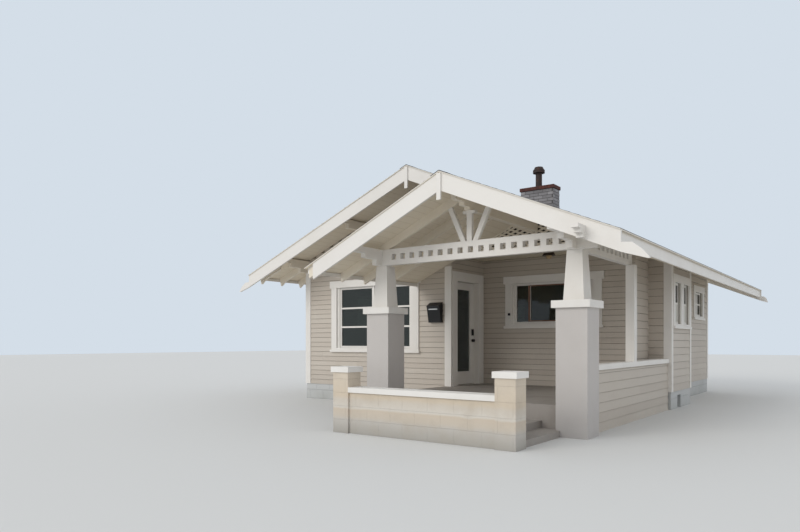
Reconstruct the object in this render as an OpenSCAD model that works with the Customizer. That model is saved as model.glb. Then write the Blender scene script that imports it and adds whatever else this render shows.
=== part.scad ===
/* [House block] */
// Width of the house block
house_w = 7000; // [5600:100:9000]
// Depth of the house block, front bay wall to rear wall
house_d = 7500; // [6000:100:10000]
// Thickness of the walls
wall_t = 140; // [100:5:200]
// Top of the foundation wall
found_z = 335; // [250:5:500]
// Floor level inside and on the porch
floor_z = 415; // [360:5:600]
// Height of the flat ceiling
ceil_z = 2975; // [2600:5:3200]
// Thickness of the ceiling
ceil_t = 60; // [30:5:100]
// Thickness of the foundation wall
found_t = 240; // [180:10:320]
// Where the side wall with the front door stands
door_wall_x = 380; // [200:10:700]
// Depth of the recess beside the door
recess_d = 1310; // [1250:10:1700]

/* [Main roof] */
// Height of the main ridge
ridge_z = 4575; // [4300:5:5200]
// Rise over run of the right roof slope
pitch = 0.424; // [0.36:0.004:0.46]
// Rise over run of the left roof slope
pitch_l = 0.404; // [0.36:0.004:0.46]
// Thickness of the roof deck, measured upright
deck_t = 45; // [35:5:80]
// Thickness of the shingle layer that laps over the roof edges
shingle_t = 15; // [10:1:30]
// How far the left eave stands from the ridge
eave_l = 4380; // [4200:10:4800]
// How far the right eave stands from the ridge
eave_r = 4630; // [4300:10:4900]
// Overhang of the main gable at the front
front_over = 900; // [600:10:1200]
// Overhang of the main gable at the rear
rear_over = 600; // [300:10:900]
// Depth of the bargeboards, measured upright
barge_d = 255; // [180:5:320]
// Thickness of the bargeboards
barge_t = 40; // [25:5:60]
// How far a bargeboard tail runs past the roof edge
tail_l = 330; // [100:10:400]
// Depth of the rafters, measured upright
rafter_d = 145; // [80:5:180]
// Width of a rafter
rafter_w = 50; // [40:5:80]
// Distance between rafters
rafter_p = 610; // [400:10:900]

/* [Porch roof] */
// Where the porch ridge stands
porch_x = 2160; // [1900:10:2300]
// How far the porch gable stands in front of the house
porch_over = 3110; // [2800:10:3400]
// Rise over run of the left porch slope
pitch_p = 0.452; // [0.38:0.004:0.48]
// Distance from the porch ridge to its left eave
porch_eave = 2570; // [2400:10:2700]
// Centre of the left pier
pier_l = 485; // [450:5:600]
// How far the centre of the right pier stands outside the house wall
pier_out = 275; // [150:5:350]
// Where the front beam face stands before the house
beam_front = 2350; // [2200:10:2500]
// Underside of the porch beams
beam_z = 2530; // [2400:10:2600]
// Height of the porch beams
beam_h = 258; // [200:2:280]
// Thickness of the porch beams
beam_t = 90; // [60:5:120]
// Size of the square holes in the beams
hole = 90; // [60:5:110]
// Distance between the holes
hole_p = 178; // [150:1:240]

/* [Piers and columns] */
// Width of the porch piers
pier_w = 440; // [360:10:540]
// Top of the porch piers under their caps
pier_z = 1743; // [1500:10:1900]
// Height of the pier caps
cap_h = 100; // [70:5:140]
// Overhang of the pier caps
cap_over = 47; // [20:1:80]
// Centre line of the piers before the house
pier_y = 2200; // [2100:10:2300]
// Width of a column at its foot
col_foot = 290; // [240:5:340]
// Width of a column at its top
col_top = 215; // [180:5:240]
// Width of the small post at the house end of the side beam
post_w = 140; // [100:5:180]

/* [Terrace wall and steps] */
// Front face of the low terrace wall
low_y = 3825; // [3500:25:4200]
// Width of the terrace pilasters
pil_w = 276; // [220:2:340]
// Height of the pilasters under their caps
pil_z = 855; // [700:5:1000]
// Height of the pilaster caps
pil_cap = 78; // [50:2:110]
// Left face of the left pilaster
pil_l = 796; // [600:4:1000]
// Right face of the right pilaster
pil_r = 3658; // [3400:2:3800]
// Top of the low wall under its cap
low_z = 575; // [450:5:700]
// Height of the low wall cap
low_cap = 72; // [50:2:100]
// Height of the first step
step1 = 90; // [60:5:120]
// Height of the second step
step2 = 190; // [150:5:220]
// Front edge of the porch slab before the house
slab_y = 2250; // [2210:10:2300]
// Top of the side wall under its cap
side_z = 885; // [750:5:1000]
// Height of the side wall cap
side_cap = 80; // [50:5:110]

/* [Side bay and openings] */
// How far the side bay stands out
bay_out = 420; // [300:10:500]
// Front face of the side bay
bay_y = 2133; // [1900:1:2300]
// Length of the side bay
bay_l = 1550; // [1300:10:1800]
// Width of the casings
casing = 150; // [100:5:180]
// How far the casings stand out of the wall
casing_t = 35; // [20:1:50]
// Thickness of the window panes
pane_t = 12; // [8:1:20]
// Clear height of the front doorway
door_h = 2070; // [1980:5:2140]
// Clear width of the front doorway
door_w = 860; // [760:5:900]
// Thickness of the front door
door_t = 45; // [38:1:55]

/* [Chimney] */
// Width of the chimney
chim_w = 757; // [600:1:1000]
// Depth of the chimney
chim_d = 336; // [240:1:500]
// Top of the chimney brickwork
chim_z = 4615; // [4500:5:5100]
// Radius of the flue pipe
flue_r = 70; // [50:1:100]

/* [Hidden] */

hx = house_w / 2;
pier_r = hx + pier_out;
bay_x = hx + bay_out;
bay_y2 = bay_y + bay_l;
beam_top = beam_z + beam_h;
open_y = 200;
open_y2 = open_y + door_w;
open_z = floor_z + door_h;
rear_y = house_d + rear_over;
cb = 125;
cb_t = 22;
lip = barge_t + 15;
drip = 30;
clear = 0.3;
edge_l = -eave_l - drip;
edge_r = eave_r + drip;

function main_z(x) = ridge_z - (x < 0 ? pitch_l : pitch) * abs(x);
function porch_z(x) = main_z(porch_x) - pitch_p * (porch_x - x);

white = [0.93, 0.92, 0.89];
siding = [0.75, 0.72, 0.67];
stucco = [0.78, 0.76, 0.72];
dark = [0.16, 0.16, 0.17];

// A block between two corners.
module blk(x0, x1, y0, y1, z0, z1) {
  translate([x0, y0, z0]) cube([x1 - x0, y1 - y0, z1 - z0]);
}

// A shape drawn in X and Z, carried along Y.
module xz(p, y0, y1) {
  translate([0, y1, 0]) rotate([90, 0, 0]) linear_extrude(y1 - y0) polygon(p);
}

// A shape drawn in Y and Z, carried along X.
module yz(p, x0, x1) {
  translate([x0, 0, 0]) rotate([90, 0, 90]) linear_extrude(x1 - x0) polygon(p);
}

// Slices of the roof slopes, d0 to d1 under the roof surface.
module band(x0, x1, d0, d1, y0, y1) {
  xz([[x0, main_z(x0) - d0], [x1, main_z(x1) - d0], [x1, main_z(x1) - d1], [x0, main_z(x0) - d1]], y0, y1);
}
module porch_band(x0, x1, d0, d1, y0, y1) {
  z0 = porch_z(x0);
  z1 = porch_z(x1);
  xz([[x0, z0 - d0], [x1, z1 - d0], [x1, z1 - d1], [x0, z0 - d1]], y0, y1);
}

// Outline of the house with its bay, set in by d.
module plan(d) {
  polygon([[-hx + d, d], [door_wall_x - d, d], [door_wall_x - d, recess_d + d], [hx - d, recess_d + d],
    [hx - d, bay_y + d], [bay_x - d, bay_y + d], [bay_x - d, bay_y2 - d], [hx - d, bay_y2 - d],
    [hx - d, house_d - d], [-hx + d, house_d - d]]);
}

module foundation() color([0.72, 0.76, 0.79]) difference() {
  linear_extrude(found_z) difference() { plan(0); plan(found_t); }
  blk(bay_x - found_t - 10, bay_x + 10, bay_y + 500, bay_y + 750, -10, 250);
}

module house_floor() color([0.55, 0.42, 0.3])
  translate([0, 0, found_z]) linear_extrude(floor_z - found_z) difference() {
    plan(wall_t);
    translate([door_wall_x - wall_t - 1, open_y]) square([wall_t + 2, door_w]);
  }

module piers_plan() {
  for (x = [pier_l, pier_r])
    translate([x - pier_w / 2, -pier_y - pier_w / 2]) square([pier_w, pier_w]);
}

// The slab fills the porch and the recess; the side wall stands beside it.
module porch_floor() color([0.66, 0.62, 0.6]) linear_extrude(floor_z) difference() {
  polygon([[pier_l - pier_w / 2, -slab_y], [pier_r - 60, -slab_y], [pier_r - 60, bay_y], [hx, bay_y],
    [hx, recess_d], [door_wall_x, recess_d], [door_wall_x, 0], [pier_l - pier_w / 2, 0]]);
  piers_plan();
}

tread = 340;
module entry_steps() color([0.6, 0.56, 0.55]) difference() {
  x0 = pil_l + pil_w;
  x1 = pil_r - 40;
  xz([[x0, 0], [x1, 0], [x1, step1], [x1 - tread, step1], [x1 - tread, step2], [x0, step2]],
    -low_y + pil_w, -slab_y);
  linear_extrude(found_z) piers_plan();
}

// Outer sizes of the window casings.
lw_x0 = -2717;
lw_x1 = -360;
lw_z0 = 1060;
lw_z1 = 2620;
rw_x0 = 900;
rw_x1 = 2900;
rw_z0 = 1555;
rw_z1 = 2615;
small_w = 1080;
sw_y0 = house_d - 1610;
sw_y1 = sw_y0 + small_w;
sw_z0 = 1820;
sw_z1 = 2640;
left_y = [0.2 * house_d, house_d - 2900];
rear_x = [1000 - hx, hx - 1000 - small_w];
ear = 40;
head_t = casing_t + 8;
bay_cb0 = 100;
bay_cb1 = 95;
bw_y0 = bay_y + bay_cb0;
bw_y1 = bay_y2 - bay_cb1;
bw_z0 = 1540;
bw_z1 = 2580;

// Cut for a window whose casing spans the given box.
module cut_x(x0, x1, z0, z1, y0, y1) blk(x0 + casing, x1 - casing, y0, y1, z0 + 90, z1 - casing);
module cut_y(y0, y1, z0, z1, x0, x1) blk(x0, x1, y0 + casing, y1 - casing, z0 + 90, z1 - casing);

module front_wall() color(siding) difference() {
  blk(-hx, door_wall_x, 0, wall_t, found_z, ceil_z);
  cut_x(lw_x0, lw_x1, lw_z0, lw_z1, -50, wall_t + 50);
}

module door_wall() color(siding) {
  blk(door_wall_x - wall_t, door_wall_x, wall_t, open_y, found_z, ceil_z);
  blk(door_wall_x - wall_t, door_wall_x, open_y2, recess_d, found_z, ceil_z);
}

module door_header() color(siding)
  blk(door_wall_x - wall_t, door_wall_x, open_y, open_y2, open_z, ceil_z);

module recess_wall() color(siding) difference() {
  blk(door_wall_x - wall_t, hx, recess_d, recess_d + wall_t, found_z, ceil_z);
  cut_x(rw_x0, rw_x1, rw_z0, rw_z1, recess_d - 50, recess_d + wall_t + 50);
}

// Upright wall along Y with its top cut to the roof slope.
module slope_wall(x0, x1, y0, y1) {
  xz([[x0, found_z], [x1, found_z], [x1, main_z(x1) - deck_t], [x0, main_z(x0) - deck_t]], y0, y1);
}

module right_wall() color(siding) {
  difference() {
    slope_wall(hx - wall_t, hx, wall_t, recess_d + wall_t);
    blk(hx - wall_t - 10, hx + 10, 0, recess_d + wall_t + 10, 0, ceil_z);
  }
  slope_wall(hx - wall_t, hx, recess_d + wall_t, bay_y + wall_t);
  difference() {
    slope_wall(hx - wall_t, hx, bay_y2 - wall_t, house_d - wall_t);
    cut_y(sw_y0, sw_y1, sw_z0, sw_z1, hx - wall_t - 50, hx + 50);
  }
}

module left_wall() color(siding) difference() {
  slope_wall(-hx, -hx + wall_t, wall_t, house_d - wall_t);
  for (y = left_y) cut_y(y, y + small_w, bw_z0, bw_z1, -hx - 50, -hx + wall_t + 50);
}

function gable(x0, x1, z0) =
  [[x0, z0], [x1, z0], [x1, main_z(x1) - deck_t], [0, ridge_z - deck_t], [x0, main_z(x0) - deck_t]];

module rear_wall() color(siding) difference() {
  xz(gable(-hx, hx, found_z), house_d - wall_t, house_d);
  for (x = rear_x) cut_x(x, x + small_w, bw_z0, bw_z1, house_d - wall_t - 50, house_d + 50);
}

// Trim board across the mouth of the recess, under the gable wall.
module recess_header() color(white)
  blk(door_wall_x, hx, 0, wall_t, ceil_z - 100, ceil_z);

// The wall of the front gable, over the bay and across the recess.
module gable_wall() color(siding) xz(gable(-hx, hx, ceil_z), 0, wall_t);

module bay_walls() color(siding) difference() {
  union() {
    slope_wall(bay_x - wall_t, bay_x, bay_y, bay_y2);
    slope_wall(hx - wall_t, bay_x - wall_t, bay_y, bay_y + wall_t);
    slope_wall(hx - wall_t, bay_x - wall_t, bay_y2 - wall_t, bay_y2);
  }
  for (k = [0, 1]) bay_cut(k);
  slope_wall(hx - wall_t, hx, bay_y, bay_y + wall_t);
  slope_wall(hx - wall_t, hx, bay_y2 - wall_t, bay_y2);
}

bw_w = (bw_y1 - bw_y0) / 2;
bw_c = 110;
function bw_a(k) = bw_y0 + k * bw_w + bw_c;
function bw_b(k) = bw_y0 + k * bw_w + bw_w - bw_c;
module bay_cut(k) blk(bay_x - wall_t - 50, bay_x + 50, bw_a(k), bw_b(k), bw_z0 + 90, bw_z1 - casing);

module ceiling() color([0.8, 0.76, 0.68])
  blk(-hx + wall_t, hx - wall_t, wall_t, house_d - wall_t, ceil_z, ceil_z + ceil_t);

module main_roof_left() color(dark) {
  band(-eave_l, 0, shingle_t, deck_t, -front_over, rear_y);
  band(edge_l, 0, 0, shingle_t, -front_over - lip, rear_y + lip);
}

module chim_hole() blk(chim_x, chim_x + chim_w, chim_y, chim_y + chim_d, ceil_z, ridge_z + 500);

// X where the main slope, d under its surface, meets the left porch slope.
function meet(d) = porch_x - d / (pitch + pitch_p);

module main_roof_right() color(dark) difference() {
  union() {
    band(0, porch_x, shingle_t, deck_t, -front_over, rear_y);
    band(porch_x, eave_r, shingle_t, deck_t, -porch_over, rear_y);
    band(0, porch_x, 0, shingle_t, -front_over, rear_y + lip);
    band(porch_x, edge_r, 0, shingle_t, -porch_over - lip, rear_y + lip);
    // The lip dies on the porch slope, short of the porch ridge.
    e = porch_x - 12;
    xz([[0, ridge_z], [e, main_z(e)], [e, porch_z(e)], [meet(shingle_t), porch_z(meet(shingle_t))],
      [0, ridge_z - shingle_t]], -front_over - lip, -front_over);
  }
  chim_hole();
}

p_edge = porch_x - porch_eave;
module porch_roof_left() color(dark) difference() {
  union() {
    porch_band(p_edge, porch_x, shingle_t, deck_t, -porch_over, 0);
    porch_band(p_edge - drip, porch_x, 0, shingle_t, -porch_over - lip, 0);
  }
  // Clear of the main slope and of the bay window casing.
  band(porch_x - 400, porch_x + 10, -400, deck_t, -front_over, 10);
  blk(p_edge - 50, lw_x1 + ear, -head_t, 10, lw_z0, lw_z1);
}

// Outline of a bargeboard tail: share of its length, drop under the top edge.
tail = [[0, 140], [0.38, 150], [0.72, 235], [1, 345], [0.92, 350]];

// A bargeboard from x0 to the roof edge x1, with a pointed tail past it, k times the full length.
function tail_drop(d, k) = d < barge_d ? tail[0][1] + (d - tail[0][1]) * k : barge_d + (d - barge_d) * k;
module barge(x0, x1, s, y, k = 1) {
  t0 = main_z(x0) - shingle_t;
  t1 = main_z(x1) - shingle_t;
  xz(concat([[x0, t0], [x1, t1]], [for (p = tail) [x1 + s * p[0] * tail_l * k, t1 - tail_drop(p[1], k)]],
    [[x1, t1 - barge_d], [x0, t0 - barge_d]]), y - barge_t, y);
}

drop_w = 33;
module apex_drop(x, y, z, l) blk(x - drop_w, x + drop_w, y, y + 25, z - l, z - shingle_t - 20);

module main_bargeboards() color(white) {
  barge(0, edge_l, -1, -front_over);
  a = meet(shingle_t + 2 * clear);
  b = meet(shingle_t + barge_d + clear);
  xz([[0, ridge_z - shingle_t], [a, porch_z(a) + clear], [b, porch_z(b) + clear],
    [0, ridge_z - shingle_t - barge_d]],
    -front_over - barge_t, -front_over);
  apex_drop(0, -front_over - barge_t - 25, ridge_z, 435);
}

// Stepped bracket at the front of the right porch bargeboard.
bracket_x = 4150;
bracket_w = 90;
module porch_bargeboards() color(white) {
  y = -porch_over - barge_t;
  barge(porch_x, edge_r, 1, -porch_over);
  xe = p_edge + 146;
  porch_band(xe, porch_x, shingle_t, shingle_t + barge_d, y, -porch_over);
  apex_drop(porch_x, y - 25, porch_z(porch_x), 405);
  for (k = [0 : 2])
    blk(bracket_x, bracket_x + bracket_w, y - 80 * (k + 1), y, beam_z + 50 * k, beam_z + 50 * (k + 1));
}

// The rear bargeboards have shorter tails.
rear_tail = 0.45;
module rear_bargeboards() color(white) {
  barge(0, edge_l, -1, rear_y + barge_t, rear_tail);
  barge(0, edge_r, 1, rear_y + barge_t, rear_tail);
  apex_drop(0, rear_y + barge_t, ridge_z, 435);
}

fascia_d = 145;
fascia_s = 60;
fascia_t = 25;
module eave_fascias() color(white) {
  zr = main_z(eave_r) - deck_t;
  zl = main_z(-eave_l) - deck_t;
  zp = porch_z(p_edge) - deck_t;
  blk(eave_r - fascia_t, eave_r, -porch_over, rear_y, zr - fascia_d, zr);
  blk(-eave_l, -eave_l + fascia_t, -front_over, rear_y, zl - fascia_s, zl);
  blk(p_edge, p_edge + fascia_t, -porch_over, -head_t, zp - fascia_s, zp);
}

// One rafter under the main slope, between x0 and x1.
module rafter(x0, x1, y) {
  band(x0, x1, deck_t, deck_t + rafter_d, y - rafter_w / 2, y + rafter_w / 2);
}

// A left rafter end, cut to a point that hangs a little lower.
nose_x = eave_l - 80;
module nosed_rafter(x1, y) {
  x0 = -eave_l + fascia_t;
  xn = -nose_x;
  xz([[x0, main_z(x0) - deck_t], [x1, main_z(x1) - deck_t], [x1, main_z(x1) - deck_t - rafter_d],
    [xn + 110, main_z(xn + 110) - deck_t - rafter_d], [xn, main_z(xn) - deck_t - rafter_d - 45]],
    y - rafter_w / 2, y + rafter_w / 2);
}

stub_l = 700;
function rafter_start(y) =
  y > bay_y - 60 && y < bay_y2 + 60 ? bay_x + cb_t :
  y < recess_d + 60 ? pier_r + 100 :
  y > house_d - 150 ? eave_r - stub_l : hx;
module rafter_tails() color([0.86, 0.82, 0.74]) {
  for (y = [-front_over + 260 : rafter_p : rear_y - 60])
    nosed_rafter(y < 150 || y > house_d - 150 ? stub_l - eave_l : -hx, y);
  for (y = [300 : rafter_p : rear_y - 60])
    rafter(rafter_start(y), eave_r - fascia_t, y);
}

ridge_w = 90;
front_rafter_y = -beam_front + beam_t / 2;
porch_rafter_y = concat([-porch_over + rafter_w / 2], [for (k = [0 : 3]) front_rafter_y + k * rafter_p]);
side_beam_x = [pier_l, pier_r];
beam_x1 = 4100;
function beam_end(x) = x == pier_l ? col_top / 2 - pier_y : post_w / 2;
// The right slope is boarded flat inside, so its rafters show only outside the side beam.
module porch_rafters() color([0.86, 0.82, 0.74]) difference() {
  union() {
    rafter(porch_x, eave_r - fascia_t, porch_rafter_y[0]);
    for (i = [2 : 4]) rafter(pier_r + beam_t / 2, eave_r - fascia_t, porch_rafter_y[i]);
    for (i = [0 : 3])
      porch_band(p_edge + fascia_t, porch_x, deck_t, deck_t + rafter_d, porch_rafter_y[i] - rafter_w / 2,
        porch_rafter_y[i] + rafter_w / 2);
  }
  for (x = side_beam_x)
    blk(x - beam_t / 2, x + beam_t / 2, -porch_over - 50, beam_end(x), beam_z, beam_top);
  blk(pier_l - beam_t / 2, beam_x1, -beam_front, -beam_front + beam_t, beam_z, beam_top);
  blk(porch_x - ridge_w / 2, porch_x + ridge_w / 2, -porch_over + ridge_in, 0, ridge_bot, ridge_z);
}

// The ridge beam, with its front end stepped.
ridge_bot = 3240;
ridge_in = 330;
module porch_ridge_beam() color(white) intersection() {
  yz([[-lat_t, ridge_bot], [-beam_front - 50, ridge_bot], [-beam_front - 50, ridge_bot + 40],
    [-beam_front - 200, ridge_bot + 40], [-beam_front - 200, ridge_bot + 90],
    [-porch_over + ridge_in, ridge_bot + 90], [-porch_over + ridge_in, ridge_z], [-lat_t, ridge_z]],
    porch_x - ridge_w / 2, porch_x + ridge_w / 2);
  union() {
    porch_band(porch_x - ridge_w, porch_x, deck_t, 1000, -porch_over, 0);
    band(porch_x, porch_x + ridge_w, deck_t, 1000, -porch_over, 0);
  }
}

// Square holes along a beam, spaced by p, as many as fit from a to b.
module row_of_holes(a, b, p) {
  n = floor((b - a) / p);
  s = (a + b) / 2 - (n - 1) * p / 2;
  for (i = [0 : n - 1]) translate([s + i * p - hole / 2, 0]) square(hole);
}

hole_z = beam_z + (beam_h - hole) / 2;
module front_beam_body()
  blk(pier_l - beam_t / 2, beam_x1, -beam_front, -beam_front + beam_t, beam_z, beam_top);
module front_beam() color(white) difference() {
  front_beam_body();
  translate([0, -beam_front + beam_t + 10, hole_z]) rotate([90, 0, 0]) linear_extrude(beam_t + 20)
    row_of_holes(pier_l + 190, pier_r - 70, hole_p);
}

// Side beams run on under the porch gable in three steps. The left one ends over its column.
beam_mid = 0.63 * beam_h;
beam_low = 0.36 * beam_h;
module side_beams() color(white) for (x = side_beam_x) difference() {
  yz([[beam_end(x), beam_z], [-beam_front - 150, beam_z], [-beam_front - 150, beam_z + beam_low],
    [-beam_front - 435, beam_z + beam_low], [-beam_front - 435, beam_z + beam_mid],
    [-porch_over, beam_z + beam_mid], [-porch_over, beam_top], [beam_end(x), beam_top]],
    x - beam_t / 2, x + beam_t / 2);
  front_beam_body();
  if (x == pier_r)
    translate([x - beam_t / 2 - 10, 0, hole_z]) rotate([90, 0, 90]) linear_extrude(beam_t + 20)
      row_of_holes(232 - pier_y, -58, hole_p + 12);
}

fan_t = 60;
fan_y = front_rafter_y - fan_t / 2;
fan_s = 0.45;
fan_w = 82;
fan_cap = 40;
module fan_arm(s, p) {
  soffit = main_z(porch_x) - deck_t - (s < 0 ? rafter_d : clear);
  a = 62;
  b = a + fan_w;
  ta = (a + fan_s * (soffit - beam_top)) / (1 + fan_s * p);
  tb = (b + fan_s * (soffit - beam_top)) / (1 + fan_s * p);
  xz([[porch_x + s * a, beam_top], [porch_x + s * b, beam_top],
    [porch_x + s * tb, soffit - p * tb], [porch_x + s * ta, soffit - p * ta]], fan_y, fan_y + fan_t);
}
module gable_fan() color(white) {
  blk(porch_x - 43, porch_x + 43, fan_y, fan_y + fan_t, beam_top, ridge_bot - fan_cap);
  blk(porch_x - 103, porch_x + 103, fan_y - 10, fan_y + fan_t + 10, ridge_bot - fan_cap, ridge_bot);
  fan_arm(-1, pitch_p);
  fan_arm(1, pitch);
}

// The strips lie as steep as the right slope, this far apart measured upright.
lat_p = 77;
lat_w = 35;
lat_shift = 32;
lat_t = 18;
lat_b = ceil_z + 5;
lat_rim = 150;
// Triangle under the porch slopes, rim r in from them and f up from its foot.
module lat_tri(r, f) {
  top = main_z(porch_x) - deck_t - r;
  foot = lat_b + f;
  polygon([[porch_x - (top - foot) / pitch_p, foot], [porch_x + (top - foot) / pitch, foot], [porch_x, top]]);
}
module gable_lattice() color(white) rotate([90, 0, 0]) linear_extrude(lat_t) {
  intersection() {
    lat_tri(clear, 0);
    for (s = [-1, 1]) for (i = [-10 : 17])
      translate([porch_x - lat_shift, lat_b + i * lat_p]) rotate(s * atan(pitch)) square([4500, lat_w], center = true);
  }
  difference() {
    lat_tri(clear, 0);
    lat_tri(lat_rim, 35);
  }
}

// Purlin ends under the gable eaves, stepped like the porch beams.
module lookout(x, s, y0, l) {
  top = min(main_z(x - 45), main_z(x + 45)) - deck_t;
  for (k = [0 : 2])
    blk(x - 45, x + 45, min(y0, y0 + s * l * (3 - k) / 3), max(y0, y0 + s * l * (3 - k) / 3),
      top - 90 * (k + 1), top - 90 * k);
}
lookout_x = hx - 60;
module lookouts() color(white) {
  for (x = [-lookout_x, -hx / 2]) lookout(x, -1, -cb_t, front_over - cb_t);
  lookout(0, -1, 0, front_over);
  for (x = [-lookout_x, lookout_x]) lookout(x, 1, house_d + cb_t, rear_over - cb_t);
  lookout(0, 1, house_d, rear_over);
}

module piers() color(stucco) linear_extrude(pier_z) piers_plan();

module pier_caps() color(white) for (x = [pier_l, pier_r]) {
  r = pier_w / 2 + cap_over;
  blk(x - r, x + r, -pier_y - r, -pier_y + r, pier_z, pier_z + cap_h);
}

module columns() color(white) for (x = [pier_l, pier_r])
  translate([x, -pier_y, pier_z + cap_h]) linear_extrude(beam_z - pier_z - cap_h, scale = col_top / col_foot)
    square(col_foot, center = true);

module low_wall() color([0.85, 0.78, 0.7])
  blk(pil_l + pil_w, pil_r - pil_w, -low_y + 30, -low_y + pil_w - 30, 0, low_z);

module pilasters() color(stucco) for (x = [pil_l, pil_r - pil_w])
  blk(x, x + pil_w, -low_y, -low_y + pil_w, 0, pil_z);

module terrace_caps() color(white) {
  blk(pil_l + pil_w, pil_r - pil_w, -low_y, -low_y + pil_w, low_z, low_z + low_cap);
  for (x = [pil_l, pil_r - pil_w])
    blk(x - 25, x + pil_w + 25, -low_y - 25, -low_y + pil_w + 25, pil_z, pil_z + pil_cap);
}

sw_x0 = pier_r - 60;
sw_x1 = pier_r + 90;
module side_wall() color(siding) blk(sw_x0, sw_x1, -pier_y + pier_w / 2, bay_y - cb_t, 0, side_z);

module side_wall_cap() color(white)
  blk(sw_x0 - 20, sw_x1 + 35, -pier_y + pier_w / 2, bay_y - cb_t, side_z, side_z + side_cap);

post_x = pier_r + 55;
module beam_post() color(white)
  blk(post_x - post_w / 2, post_x + post_w / 2, -post_w / 2, post_w / 2, side_z + side_cap, beam_z);

// Corner board with one leg along X and one along Y.
module l_board(x, y, sx, sy, lx, ly, z0, z1) {
  translate([x, y, z0]) linear_extrude(z1 - z0)
    polygon([[sx * cb_t, sy * cb_t], [-sx * lx, sy * cb_t], [-sx * lx, 0], [0, 0], [0, -sy * ly],
      [sx * cb_t, -sy * ly]]);
}
module corner_boards() color(white) {
  top = main_z(hx + cb_t) - deck_t;
  left_top = main_z(-hx - cb_t) - deck_t;
  bay_top = main_z(bay_x + cb_t) - deck_t;
  l_board(-hx, 0, -1, -1, cb, cb, found_z, left_top);
  l_board(door_wall_x, 0, 1, -1, cb, 15, floor_z, porch_z(door_wall_x - cb) - deck_t);
  l_board(bay_x, bay_y, 1, -1, cb, bay_cb0, found_z, bay_top);
  l_board(bay_x, bay_y2, 1, 1, cb / 2, bay_cb1, found_z, bay_top);
  l_board(hx, house_d, 1, 1, cb, cb, found_z, top);
  l_board(-hx, house_d, -1, 1, cb, cb, found_z, left_top);
}

// Casing with a sill and an eared head, on a wall that faces -Y (s = -1) or +Y (s = 1).
module ring_x(x0, x1, z0, z1, y, s) {
  difference() {
    blk(x0, x1, min(y, y + s * casing_t), max(y, y + s * casing_t), z0 + 50, z1);
    blk(x0 + casing, x1 - casing, y - 100, y + 100, z0 + 90, z1 - casing);
  }
  blk(x0 - 25, x1 + 25, min(y, y + s * (casing_t + 25)), max(y, y + s * (casing_t + 25)), z0, z0 + 50);
  blk(x0 - ear, x1 + ear, min(y, y + s * head_t), max(y, y + s * head_t), z1 - casing, z1);
}
module ring_y(y0, y1, z0, z1, x, s) {
  difference() {
    blk(min(x, x + s * casing_t), max(x, x + s * casing_t), y0, y1, z0 + 50, z1);
    blk(x - 100, x + 100, y0 + casing, y1 - casing, z0 + 90, z1 - casing);
  }
  blk(min(x, x + s * (casing_t + 25)), max(x, x + s * (casing_t + 25)), y0 - 25, y1 + 25, z0, z0 + 50);
  blk(min(x, x + s * head_t), max(x, x + s * head_t), y0 - ear, y1 + ear, z1 - casing, z1);
}
module window_casings() color(white) {
  ring_x(lw_x0, lw_x1, lw_z0, lw_z1, 0, -1);
  ring_x(rw_x0, rw_x1, rw_z0, rw_z1, recess_d, -1);
  ring_y(sw_y0, sw_y1, sw_z0, sw_z1, hx, 1);
  difference() {
    blk(bay_x, bay_x + casing_t, bw_y0, bw_y1, bw_z0 + 50, bw_z1);
    for (k = [0, 1]) bay_cut(k);
  }
  blk(bay_x, bay_x + casing_t + 25, bw_y0, bw_y1, bw_z0, bw_z0 + 50);
  for (y = left_y) ring_y(y, y + small_w, bw_z0, bw_z1, -hx, -1);
  for (x = rear_x) ring_x(x, x + small_w, bw_z0, bw_z1, house_d, 1);
}

sash = 45;
sash_t = 50;
sash_in = 20;
bar = 18;
// Sash frame inside an opening, its lower face in Y at y, with level bars.
module sash_x(x0, x1, z0, z1, y, bars) {
  difference() {
    blk(x0, x1, y, y + sash_t, z0, z1);
    blk(x0 + sash, x1 - sash, y - 10, y + sash_t + 10, z0 + sash, z1 - sash);
  }
  h = (z1 - z0 - 2 * sash) / (bars + 1);
  if (bars > 0) for (i = [1 : bars])
    blk(x0 + sash, x1 - sash, y, y + sash_t, z0 + sash + i * h - bar, z0 + sash + i * h + bar);
}
module sash_y(y0, y1, z0, z1, x) {
  difference() {
    blk(x, x + sash_t, y0, y1, z0, z1);
    blk(x - 10, x + sash_t + 10, y0 + sash, y1 - sash, z0 + sash, z1 - sash);
  }
  zm = (z0 + z1) / 2;
  blk(x, x + sash_t, y0 + sash, y1 - sash, zm - bar, zm + bar);
}
lw_m = (lw_x0 + lw_x1) / 2;
mull = 15;
liner = 65;
rw_liner = 40;
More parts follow.
